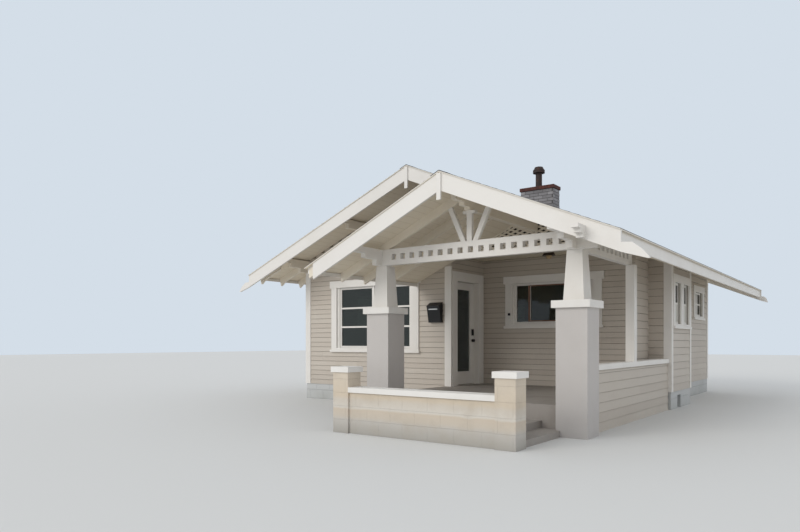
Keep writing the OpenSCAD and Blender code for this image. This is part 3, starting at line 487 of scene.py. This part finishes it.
# Roof decks: boards nailed on the rafters, showing from below and painted cream like them.
# On top they are covered, and a pale drip edge runs along their sides.
roof = Finish("roof_boards_and_drip_edge", roughness=0.85, patch_scale=1.2, splash=0.1, grain=120)
t = roof.tree
soffit_board_w, level_limit = 0.14, 0.5
facing = add(t, "ShaderNodeSeparateXYZ")
feed(t, facing, ((0, t.nodes.new("ShaderNodeNewGeometry").outputs["Normal"]),))
from_below = maths(t, "LESS_THAN", facing.outputs["Z"], -level_limit)
covered = maths(t, "GREATER_THAN", facing.outputs["Z"], level_limit)
soffit_lines = board_lines(roof, "X", soffit_board_w)
soffit = blend(t, soffit_lines, tint(218, 206, 184), tint(231, 220, 200))
soffit = blend(t, roof.mask("Patches", 0.3), soffit, tint(214, 200, 174))
uncovered = blend(t, from_below, tint(216, 211, 202), soffit)
roof.colour(blend(t, covered, uncovered, tint(58, 56, 58)))
roof.relief([maths(t, "MULTIPLY", soffit_lines, from_below)], 0.003)
dress(roof, "main_roof_left", "main_roof_right", "porch_roof_left")

# Shingles: dark mineral felt cut in tabs, nailed in courses from the eaves up.
# Each course laps the one below and is shifted by half a tab, and every tab has its own tone.
edge_l, main_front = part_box("main_roof_left")[0].xy
edge_r, main_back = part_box("main_roof_right")[1].xy
porch_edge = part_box("porch_roof_left")[0].x
porch_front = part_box("main_roof_right")[0].y
course_h, tab_w, tab_t, tab_gap = 0.135, 0.305, 0.006, 0.006
tab_taper, least_course, least_tab = 0.8, 0.02, 0.03
shingle = Finish("roof_shingle", roughness=0.9, patch_scale=0.9, splash=0.1, grain=220)
mineral = blend(shingle.tree, shingle.tone(), tint(62, 60, 62), tint(92, 89, 90))
shingle.weather(mineral, tint(112, 108, 106), 0.45)
shingle.relief([shingle.mask("Grain")], 0.003)


def shingled(eave_x, rise, ridge_x, top_z, y_from, y_to):
    """Shingle units on one slope, from its eave up; y_from(x) and y_to(x) bound each course."""
    side = 1 if eave_x > ridge_x else -1
    length = math.hypot(1, rise)
    outward = Vector((side * rise, 0, 1)) / length
    along = Y * side
    total = abs(eave_x - ridge_x) * length
    n = 0
    while n * course_h < total - least_course:
        h = min(course_h, total - n * course_h)
        x = eave_x - side * n * course_h / length
        bound_x = max(x, x - side * h / length)
        z = top_z - rise * abs(x - ridge_x)
        y0, y1 = y_from(bound_x), y_to(bound_x)
        y = y0 - (n % 2) * tab_w / 2
        while y < y1:
            a, b = max(y, y0), min(y + tab_w, y1)
            if b - a > least_tab:
                start = a if side > 0 else b
                yield Vector((x, start, z)), along, outward, (b - a - tab_gap, tab_t, h)
            y += tab_w
        n += 1


# The right slope runs on over the porch. The left slope of the porch runs back under the main roof to the
# front gable, but near its ridge, where the two decks meet, it stops at the main roof's front edge.
past_ridge, gable_stop, valley_lap = 0.05, -0.02, 0.06
under_main = porch_x - deck_t / (pitch + pitch_p) - valley_lap


def right_front(x):
    return porch_front if x > porch_x + past_ridge else main_front


def porch_back(x):
    return gable_stop if x < under_main else main_front


tabs = list(shingled(edge_l, pitch_l, 0.0, ridge_z, lambda x: main_front, lambda x: main_back))
tabs += shingled(edge_r, pitch, 0.0, ridge_z, right_front, lambda x: main_back)
tabs += shingled(porch_edge, pitch_p, porch_x, porch_top, lambda x: porch_front, porch_back)
chimney_lo, chimney_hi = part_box("chimney")
off_left, off_right, off_front, off_back, on_roof = 0.06, 0.12, 0.28, 0.02, 0.01


def at_chimney(spot):
    """Whether a tab that starts at spot would run into the chimney."""
    return (chimney_lo.x - off_left < spot.x < chimney_hi.x + off_right
            and chimney_lo.y - off_front < spot.y < chimney_hi.y + off_back
            and spot.z > roof_z(spot.x) - on_roof)


tabs = [tab for tab in tabs if not at_chimney(tab[0])]
lay("shingles", tabs, shingle, seed=11, taper=tab_taper)

# Ridge caps: short pieces of the same felt, laid end to end along both ridges and bent over them.
# Each is nailed into both slopes.
cap_w, cap_step, least_cap, cap_lift, cap_run_in = 0.15, 0.2, 0.05, 0.8, 0.02
ridges = ((0.0, ridge_z, main_front, main_back, pitch_l, pitch),
          (porch_x, porch_top, porch_front, main_front + cap_run_in, pitch_p, pitch))
caps = []
for ridge_x, top_z, y0, y1, lean_l, lean_r in ridges:
    y = y0
    while y < y1 - least_cap:
        step = min(cap_step, y1 - y)
        for side, lean in ((-1, lean_l), (1, lean_r)):
            size = math.hypot(1, lean)
            outward = Vector((side * lean, 0, 1)) / size
            down = Vector((side, 0, -lean)) / size
            base = Vector((ridge_x, y, top_z)) + outward * tab_t * cap_lift
            start = base + down * cap_w if side < 0 else base
            caps.append((start, side * down, outward, (cap_w, tab_t, step - tab_gap)))
        y += cap_step
lay("ridge_caps", caps, shingle, seed=12)

# Gable lattice: thin laths in two layers, nailed across each other at the pitch of the roof.
# Battens along both slopes and the foot hide the ends of the laths. All of it is painted like the rafters.
lattice_lo, lattice_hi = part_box("gable_lattice")
lath_w, lath_t, lath_step, lath_shift = 0.035, 0.0075, 0.077, 0.032
first_lath, last_lath, shortest_lath = -10, 17, 0.05
batten_w, batten_t, batten_thinner = 0.03, 0.018, 0.001
lattice_back = -0.003
left_end, right_end = Vector((lattice_lo.x, 0, lattice_lo.z)), Vector((lattice_hi.x, 0, lattice_lo.z))
peak = Vector((porch_x, 0, lattice_hi.z))


def within_lattice(start, way):
    """The stretch of a line inside the lattice's triangle, as two distances from start along way."""
    low, high = -lattice_hi.x, lattice_hi.x
    for first, second in ((left_end, right_end), (right_end, peak), (peak, left_end)):
        inward = Vector((first.z - second.z, 0, second.x - first.x))
        rate = way.dot(inward)
        meets = (first - start).dot(inward) / rate if rate else low
        if rate > 0:
            low = max(low, meets)
        elif rate < 0:
            high = min(high, meets)
        elif (start - first).dot(inward) < 0:
            return 0, 0
    return low, high


laths = []
for layer, lean in enumerate((pitch, -pitch)):
    way = Vector((1, 0, lean)).normalized()
    across = Vector((-way.z, 0, way.x)) * lath_w / 2
    for i in range(first_lath, last_lath + 1):
        middle = Vector((porch_x - lath_shift, 0, lattice_lo.z + i * lath_step))
        spans = [within_lattice(middle + s * across, way) for s in (-1, 1)]
        low, high = max(a for a, b in spans), min(b for a, b in spans)
        if high - low > shortest_lath:
            corner = middle - across + way * low
            corner.y = lattice_back - layer * lath_t
            laths.append((corner, way, -Y, (high - low, lath_t, lath_w)))
battens = ((peak, right_end, 0, pitch), (left_end, peak, pitch_p, 0), (left_end, right_end, pitch_p, pitch))
for n, (first, second, lean_0, lean_1) in enumerate(battens):
    way = (second - first).normalized()
    across = Vector((-way.z, 0, way.x)) * batten_w
    cut_0, cut_1 = (batten_w / lean if lean else 0 for lean in (lean_0, lean_1))
    corner = first + way * cut_0 - (across if first.z != second.z else Vector())
    corner.y = lattice_back
    batten_l = (second - first).length - cut_0 - cut_1
    laths.append((corner, way, -Y, (batten_l, batten_t - n * batten_thinner, batten_w)))
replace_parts(lay("gable_laths", laths, timber, seed=13), "gable_lattice")

# Painted shade behind the gable lattice: a thin dark sheet against the wall, standing in for the attic's
# shadow.
# Because of it the holes of the lattice read black.
shade_sheet_t, shade_sheet_in, foot_in, peak_in = 0.003, 0.05, 0.01, 0.03
shade_sheet_foot, shade_sheet_top = lattice_lo.z + foot_in, lattice_hi.z - peak_in
shade_sheet = bpy.data.meshes.new("attic_shade_sheet")
corners = [(lattice_lo.x + shade_sheet_in, shade_sheet_foot), (lattice_hi.x - shade_sheet_in, shade_sheet_foot),
           (porch_x, shade_sheet_top)]
shade_sheet.from_pydata([(x, y, z) for y in (-shade_sheet_t, 0.0) for x, z in corners], [],
                   [(0, 1, 2), (5, 4, 3), (0, 3, 4, 1), (1, 4, 5, 2), (2, 5, 3, 0)])
shade_sheet_piece = bpy.data.objects.new("attic_shade_sheet", shade_sheet)
bpy.context.scene.collection.objects.link(shade_sheet_piece)
attic_shade = Finish("attic_painted_shade", roughness=0.9, patch_scale=3.0, splash=0.1, grain=300)
# This dark colour is painted shade, where the attic behind the lattice is in shadow.
attic_shade.colour(tint(52, 46, 40))
shade_sheet.materials.append(attic_shade.material)
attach(shade_sheet_piece, "house")

# Porch piers: square stacks of block, rendered in stucco and painted.
# The coat is grainy, a little dirty in patches and darker towards the ground.
stucco = Finish("stucco", roughness=0.85, patch_scale=1.5, splash=1.1, grain=110)
stucco.weather(tint(200, 195, 191), tint(187, 181, 175), 0.35, tint(160, 157, 155), 0.5)
stucco.relief([stucco.mask("Grain")], 0.004)
dress(stucco, "piers")

# Terrace wall and its pilasters: older block under a thin coat of stucco, through which the courses show.
# Age has left cream and grey bands along the courses.
terrace_l, terrace_h, terrace_gap, waviness = 0.4, 0.19, 0.004, 0.03
terrace = Finish("banded_stucco", roughness=0.88, patch_scale=3.2, splash=0.35, grain=110)
t = terrace.tree
band_height = maths(t, "ADD", terrace.coordinate("Z"), terrace.mask("Patches", waviness))
bands = t.nodes.new("ShaderNodeValToRGB")
wall_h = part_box("pilasters")[1].z
feed(t, bands, (("Fac", maths(t, "DIVIDE", band_height, wall_h)),))
stops = [(0.0, (176, 172, 166)), (0.22, (200, 195, 188)), (0.29, (206, 195, 180)), (0.40, (204, 191, 174)),
         (0.43, (212, 206, 196)), (0.56, (207, 198, 185)), (0.62, (209, 195, 175)), (1.0, (214, 202, 185))]
while len(bands.color_ramp.elements) < len(stops):
    bands.color_ramp.elements.new(0.5)
for element, (position, chip) in zip(bands.color_ramp.elements, stops):
    element.position = position
    element.color = tint(*chip)
terrace.weather(bands.outputs["Color"], tint(184, 173, 158), 0.4, tint(150, 147, 138), 0.5)
terrace_courses = block_courses(terrace, terrace_l, terrace_h, terrace_gap)
terrace.relief([maths(t, "MULTIPLY", terrace_courses, 0.5), terrace.mask("Grain", 0.6)], 0.005)
dress(terrace, "low_wall", "pilasters")

# Caps of the piers and the walls: slabs of cast concrete, bedded in mortar.
# They are painted white, and the paint has gone chalky.
cast = Finish("cap_paint", roughness=0.7, patch_scale=2.5, splash=0.2, grain=80)
cast.weather(tint(233, 230, 225), tint(216, 211, 203), 0.35)
cast.relief([cast.mask("Grain")], 0.0015)
dress(cast, "pier_caps", "terrace_caps", "side_wall_cap")

# Window glass: clear sheets, puttied into the painted sashes.
# It looks dark because the rooms behind are unlit.
glass = Finish("window_glass", roughness=0.03, patch_scale=1.0, splash=0.1, grain=20)
feed(glass.tree, glass.shader,
     (("Base Color", tint(88, 96, 88)), ("Transmission Weight", 0.82), ("IOR", 1.45)))
dress(glass, "window_panes")

# Centre sash of the recess window: varnished timber with two stiles and two thin rails.
# It is let into the painted frame.
stile_w, rail_h, sash_t = 0.04, 0.022, 0.012
frame_in, light_in, sash_in, stile_places = 0.04, 0.045, 0.02, (0.2, 0.8)
varnish = Finish("varnished_sash", roughness=0.35, patch_scale=2.0, splash=0.1, grain=30)
varnish.colour(blend(varnish.tree, varnish.mask("Grain", 0.6), tint(120, 82, 58), tint(92, 60, 42)))
open_x0, open_x1, open_z0, open_z1 = recess_window
light_z0, light_z1 = open_z0 + light_in, open_z1 - light_in
span = open_x1 - open_x0 - 2 * frame_in
stiles = [open_x0 + frame_in + share * span - stile_w / 2 for share in stile_places]
sash_y = recess_y + sash_in
sash_units = [(Vector((x, sash_y, light_z0)), X, -Y, (stile_w, sash_t, light_z1 - light_z0)) for x in stiles]
rail_x, rail_l = stiles[0] + stile_w, stiles[1] - stiles[0] - stile_w
for z in (light_z0, light_z1 - rail_h):
    sash_units.append((Vector((rail_x, sash_y, z)), X, -Y, (rail_l, sash_t, rail_h)))
lay("brown_sash", sash_units, varnish, seed=14)

# Lower lights of the bay window: obscured glass, set in the sashes like the clear sheets.
# From outside it shows pale.
frost_w, frost_t, frost_in, frost_starts = 0.367, 0.004, 0.038, (2.388, 3.065)
frost_raise, below_middle = 0.045, 0.018
frost = Finish("obscured_glass", roughness=0.35, patch_scale=1.0, splash=0.1, grain=60)
frost.colour(tint(204, 203, 194))
bay_mid = (bay_window[2] + bay_window[3]) / 2
frost_z = bay_window[2] + frost_raise
frost_size = (frost_w, frost_t, bay_mid - below_middle - frost_z)
frost_units = [(Vector((bay_hi.x - frost_in, y, frost_z)), Y, X, frost_size) for y in frost_starts]
lay("frosted_lights", frost_units, frost, seed=15)

# Front door: a painted timber door with one long light of reeded glass, held by a bead on each face.
# The reeds stand on both faces of the sheet.
door_paint = Finish("door_paint", roughness=0.4, patch_scale=2.0, splash=0.2, grain=30)
door_paint.weather(tint(226, 222, 216), tint(211, 205, 197), 0.25)
dress(door_paint, "front_door")
reeded = Finish("reeded_glass", roughness=0.12, patch_scale=1.0, splash=0.1, grain=20)
reeded.relief([reeded.mask("Grain")], 0.0004)
feed(reeded.tree, reeded.shader,
     (("Base Color", tint(104, 110, 108)), ("Transmission Weight", 0.55), ("IOR", 1.45)))
dress(reeded, "door_pane")
pane_lo, pane_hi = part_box("door_pane")
pane_w, pane_h = pane_hi.y - pane_lo.y, pane_hi.z - pane_lo.z
reed_step, reed_w, reed_t = 0.022, 0.013, 0.0025
reed_count = int(pane_w / reed_step)
reeds = []
for i in range(reed_count):
    y = pane_lo.y + (i + 0.5) * pane_w / reed_count
    reeds.append((Vector((pane_hi.x, y - reed_w / 2, pane_lo.z)), Y, X, (reed_w, reed_t, pane_h)))
    reeds.append((Vector((pane_lo.x, y + reed_w / 2, pane_lo.z)), -Y, -X, (reed_w, reed_t, pane_h)))
lay("door_reeds", reeds, reeded, seed=20, body="door")
door_lo, door_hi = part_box("front_door")
bead_w, bead_t = 0.028, 0.009
bead = []
for x, outward, along in ((door_hi.x, X, Y), (door_lo.x, -X, -Y)):
    for z in (pane_lo.z - bead_w, pane_hi.z):
        start = pane_lo.y - bead_w if along.y > 0 else pane_hi.y + bead_w
        bead.append((Vector((x, start, z)), along, outward, (pane_w + 2 * bead_w, bead_t, bead_w)))
    for y in (pane_lo.y - bead_w, pane_hi.y):
        start = y if along.y > 0 else y + bead_w
        bead.append((Vector((x, start, pane_lo.z)), along, outward, (bead_w, bead_t, pane_h)))
lay("door_bead", bead, door_paint, seed=16, body="door")

# Ironmongery of the door: a turned knob and a lock plate, enamelled black and fixed through the stile.
# The hinges are plain steel, screwed to the door and the jamb.
black = Finish("black_enamel", roughness=0.35, patch_scale=4.0, splash=0.1, grain=150)
black.colour(tint(26, 26, 28))
black.shader.inputs["Metallic"].default_value = 0.3
dress(black, "door_lock")
steel = Finish("hinge_steel", roughness=0.35, patch_scale=4.0, splash=0.1, grain=150)
steel.colour(tint(172, 172, 170))
steel.shader.inputs["Metallic"].default_value = 1.0
dress(steel, "door_hinges")

# Mailbox: folded sheet, enamelled black and screwed to the wall, with a bright pull across the lid.
# Its face is left plain.
dress(black, "mailbox")
box_lo, box_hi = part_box("mailbox")
pull_w, pull_t, pull_h, pull_in, pull_drop = 0.2, 0.014, 0.022, 0.022, 0.15
pull_at = Vector(((box_lo.x + box_hi.x - pull_w) / 2, box_lo.y + pull_in, box_hi.z - pull_drop))
lay("mailbox_pull", [(pull_at, X, -Y, (pull_w, pull_t, pull_h))], steel, seed=17)

# Bell push: a small black plate over a white body.
# Both are screwed to the casing of the recess window.
bell_x, bell_z = 0.97, 1.82
push_size, body_size = (0.045, 0.022, 0.05), (0.037, 0.02, 0.066)
body_in, body_drop, casing_t = 0.004, 0.07, 0.035
ivory = Finish("bell_body", roughness=0.4, patch_scale=4.0, splash=0.1, grain=150)
ivory.colour(tint(222, 220, 214))
casing_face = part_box("recess_wall")[0].y - casing_t
push_at = Vector((bell_x, casing_face, bell_z))
body_at = Vector((bell_x + body_in, casing_face, bell_z - body_drop))
lay("bell_push", [(push_at, X, -Y, push_size)], black, seed=18)
lay("bell_body", [(body_at, X, -Y, body_size)], ivory, seed=19)

# Porch light: a dished bronze plate, screwed up to the ceiling of the recess.
# Under it hangs a small amber bowl.
plate_h = 0.061
lamp = Finish("bronze_and_amber", roughness=0.35, patch_scale=1.0, splash=0.1, grain=20)
t = lamp.tree
plate_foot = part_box("porch_light")[1].z - plate_h
in_plate = maths(t, "GREATER_THAN", lamp.coordinate("Z"), plate_foot)
lamp.colour(blend(t, in_plate, tint(176, 150, 112), tint(62, 50, 38)))
dress(lamp, "porch_light")

# Chimney: hard brick in running bond on dark mortar, standing clear of the roof.
# It was painted grey long ago and has weathered since.
brick_l, brick_h, brick_joint, brick_out = 0.2, 0.057, 0.01, 0.006
brick_foot, least_brick, least_course_h = 3.945, 0.03, 0.02
mortar = Finish("chimney_mortar", roughness=0.95, patch_scale=2.0, splash=0.1, grain=150)
mortar.weather(tint(92, 90, 90), tint(76, 74, 74), 0.6)
dress(mortar, "chimney")
brick = Finish("painted_brick", roughness=0.85, patch_scale=5.0, splash=0.1, grain=120)
brick_skin = blend(brick.tree, brick.tone(), tint(122, 120, 122), tint(160, 158, 160))
brick.weather(brick_skin, tint(104, 100, 98), 0.5)
brick.relief([brick.mask("Grain")], 0.003)


def stack_faces(lo, hi):
    """The four faces of a square stack: corner at ground level, direction along, outward, width."""
    return [(Vector((lo.x, lo.y, 0)), X, -Y, hi.x - lo.x), (Vector((hi.x, lo.y, 0)), Y, X, hi.y - lo.y),
            (Vector((hi.x, hi.y, 0)), -X, Y, hi.x - lo.x), (Vector((lo.x, hi.y, 0)), -Y, -X, hi.y - lo.y)]


def bonded(lo, hi, z0, z1):
    """Brick units in running bond around a square stack."""
    n = 0
    while z0 + n * (brick_h + brick_joint) < z1 - least_course_h:
        z = z0 + n * (brick_h + brick_joint)
        h = min(brick_h, z1 - z)
        for corner, along, outward, width in stack_faces(lo, hi):
            a = -(n % 2) * (brick_l + brick_joint) / 2
            while a < width:
                b0, b1 = max(a, 0.0), min(a + brick_l, width)
                if b1 - b0 > least_brick:
                    yield corner + along * b0 + Vector((0, 0, z)), along, outward, (b1 - b0, brick_out, h)
                a += brick_l + brick_joint
        n += 1


stack = list(bonded(chimney_lo, chimney_hi, brick_foot, chimney_hi.z))
lay("chimney_bricks", stack, brick, seed=21)

# Chimney cap: one course of dark red bricks set on edge, corbelled out over the stack.
# The bed between them is of the same colour.
on_edge, cap_joint, cap_out, cap_bed = 0.065, 0.008, 0.006, 0.003
cap_body = Finish("cap_bed", roughness=0.9, patch_scale=2.0, splash=0.1, grain=150)
cap_body.weather(tint(96, 62, 52), tint(74, 48, 42), 0.6)
dress(cap_body, "chimney_cap")
cap_brick = Finish("cap_brick", roughness=0.85, patch_scale=5.0, splash=0.1, grain=120)
cap_brick.colour(blend(cap_brick.tree, cap_brick.tone(), tint(100, 58, 48), tint(72, 44, 40)))
cap_brick.relief([cap_brick.mask("Grain")], 0.003)
cap_lo, cap_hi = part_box("chimney_cap")
cap_units = []
for corner, along, outward, width in stack_faces(cap_lo, cap_hi):
    count = round(width / on_edge)
    size = (width / count - cap_joint, cap_out, cap_hi.z - cap_lo.z - 2 * cap_bed)
    for i in range(count):
        at = corner + along * (i * width / count) + Vector((0, 0, cap_lo.z + cap_bed))
        cap_units.append((at, along, outward, size))
lay("cap_bricks", cap_units, cap_brick, seed=22)

# Flue: a pipe of rolled iron with a drum cowl on its top.
# It stands in the chimney and has rusted all over.
rust = Finish("rusted_iron", roughness=0.7, patch_scale=14.0, splash=0.1, grain=120)
rust.weather(tint(58, 46, 42), tint(96, 58, 40), 0.8)
rust.shader.inputs["Metallic"].default_value = 0.25
dress(rust, "flue")

# Studio: a pale floor, a soft warm sun and a pale blue surround.
# The camera, reflections and glass see the surround's own colour, and the house takes a plainer light.
sky_light, sky_strength, sky_seen = (0.93, 0.96, 1.0, 1), 0.84, tint(212, 222, 232)
world = bpy.data.worlds.new("studio")
bpy.context.scene.world = world
world.use_nodes = True
t = world.node_tree
light = t.nodes["Background"]
feed(t, light, (("Color", sky_light), ("Strength", sky_strength)))
seen = t.nodes.new("ShaderNodeBackground")
feed(t, seen, (("Color", sky_seen), ("Strength", 1.0)))
rays = t.nodes.new("ShaderNodeLightPath")
by_glass = maths(t, "MAXIMUM", rays.outputs["Is Glossy Ray"], rays.outputs["Is Transmission Ray"])
direct = maths(t, "MAXIMUM", rays.outputs["Is Camera Ray"], by_glass)
mix = t.nodes.new("ShaderNodeMixShader")
feed(t, mix, ((0, direct), (1, light.outputs[0]), (2, seen.outputs[0])))
feed(t, t.nodes["World Output"], (("Surface", mix.outputs[0]),))

ground_r = 60.0
ground = bpy.data.meshes.new("studio_floor")
ground.from_pydata([(x * ground_r, y * ground_r, 0) for x, y in ((-1, -1), (1, -1), (1, 1), (-1, 1))],
                   [], [(0, 1, 2, 3)])
floor_piece = bpy.data.objects.new("studio_floor", ground)
bpy.context.scene.collection.objects.link(floor_piece)
floor_look = Finish("studio_floor", roughness=0.9, patch_scale=1.3, splash=0.5, grain=60)
floor_look.colour(tint(214, 214, 212))
ground.materials.append(floor_look.material)

sun = bpy.data.lights.new("sun", "SUN")
sun.energy = 1.0
sun.angle = math.radians(32)
sun.color = (1.0, 0.965, 0.91)
sun_piece = bpy.data.objects.new("sun", sun)
sun_dir = Vector((0.34, 0.84, -0.44))
sun_piece.rotation_euler = sun_dir.to_track_quat("-Z", "Y").to_euler()
bpy.context.scene.collection.objects.link(sun_piece)

# Camera: upright at eye level in front of the terrace, with its view shifted up to take in the roof.
# Its lens, place and turn come from the vanishing points of the picture, measured in its pixels.
picture_w, picture_h, focal_px, horizon_row = 800, 532, 646, 341.5
camera = bpy.data.cameras.new("camera")
camera.sensor_width = 36
camera.lens = camera.sensor_width * focal_px / picture_w
camera.shift_y = (horizon_row - picture_h / 2) / picture_w
camera_piece = bpy.data.objects.new("camera", camera)
camera_piece.location = (7.048, -10.681, 1.29)
camera_piece.rotation_euler = (math.radians(90), 0, math.radians(36.462))
bpy.context.scene.collection.objects.link(camera_piece)
bpy.context.scene.camera = camera_piece
bpy.context.scene.view_settings.view_transform = "Standard"
